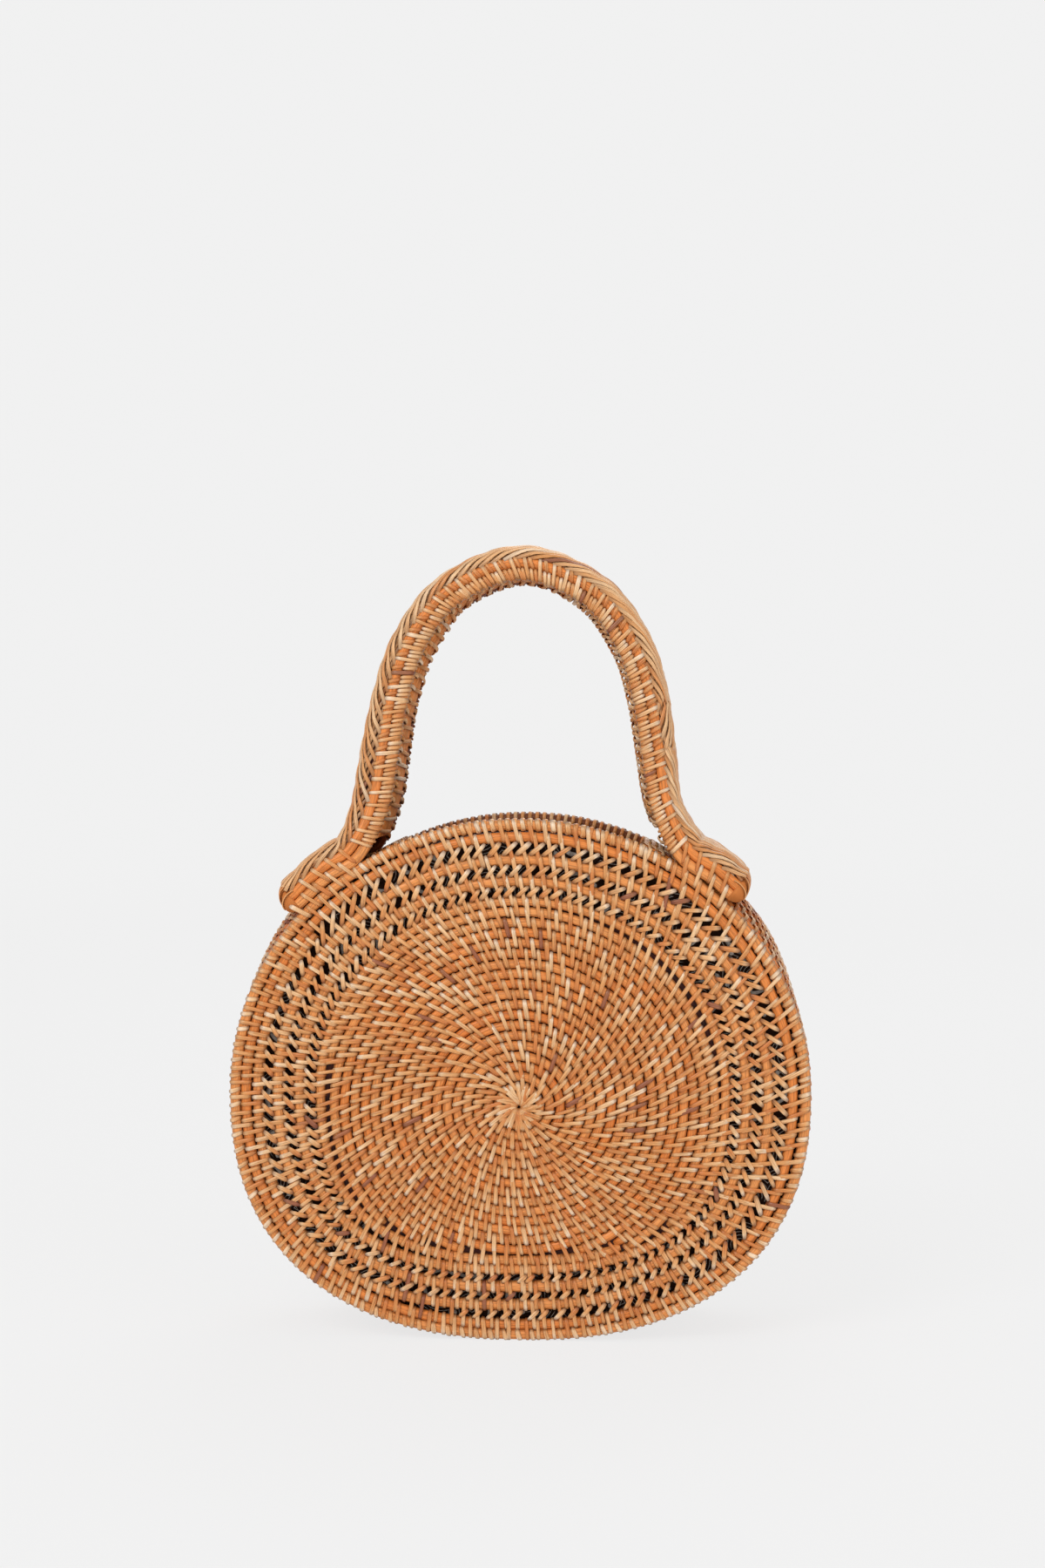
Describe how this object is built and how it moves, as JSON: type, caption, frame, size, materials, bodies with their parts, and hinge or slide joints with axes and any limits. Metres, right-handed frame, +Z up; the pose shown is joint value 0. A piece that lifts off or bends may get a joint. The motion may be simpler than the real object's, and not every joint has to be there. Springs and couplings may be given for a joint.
{
  "type": "rattan top handle handbag",
  "caption": "Round hand-woven cane handbag with flat coiled panels, a band gusset, an open mouth and a rigid arched top handle with flared feet.",
  "frame": {"origin": "on the ground under the middle of the bag", "axes": "+Z up, +X to the right seen from the front, the front panel faces -Y"},
  "size_m": [0.2808, 0.0794, 0.3832],
  "materials": {
    "cane": "stained and varnished rattan rod, satin",
    "braid": "glossy split cane, golden",
    "core": "plain cane, matt",
    "lining": "dark brown printed cotton"
  },
  "bodies": {
    "root": {"front_coil_disc": "cane", "front_open_rod_inner": "cane", "front_open_rod_outer": "cane", "front_rim_rod_inner": "cane", "front_rim_rod_outer": "cane", "back_coil_disc": "cane", "back_open_rod_inner": "cane", "back_open_rod_outer": "cane", "back_rim_rod_inner": "cane", "back_rim_rod_outer": "cane", "gusset_band": "cane", "handle_front_outer_rod": "cane", "handle_front_inner_rod": "cane", "handle_back_outer_rod": "cane", "handle_back_inner_rod": "cane", "handle_core": "core", "handle_outer_braid": "braid", "handle_inner_weave": "braid", "left_foot_binding": "braid", "right_foot_binding": "braid", "front_lining": "lining", "back_lining": "lining", "gusset_lining": "lining", "front_lining_hem": "lining", "back_lining_hem": "lining"}
  },
  "joints": []
}
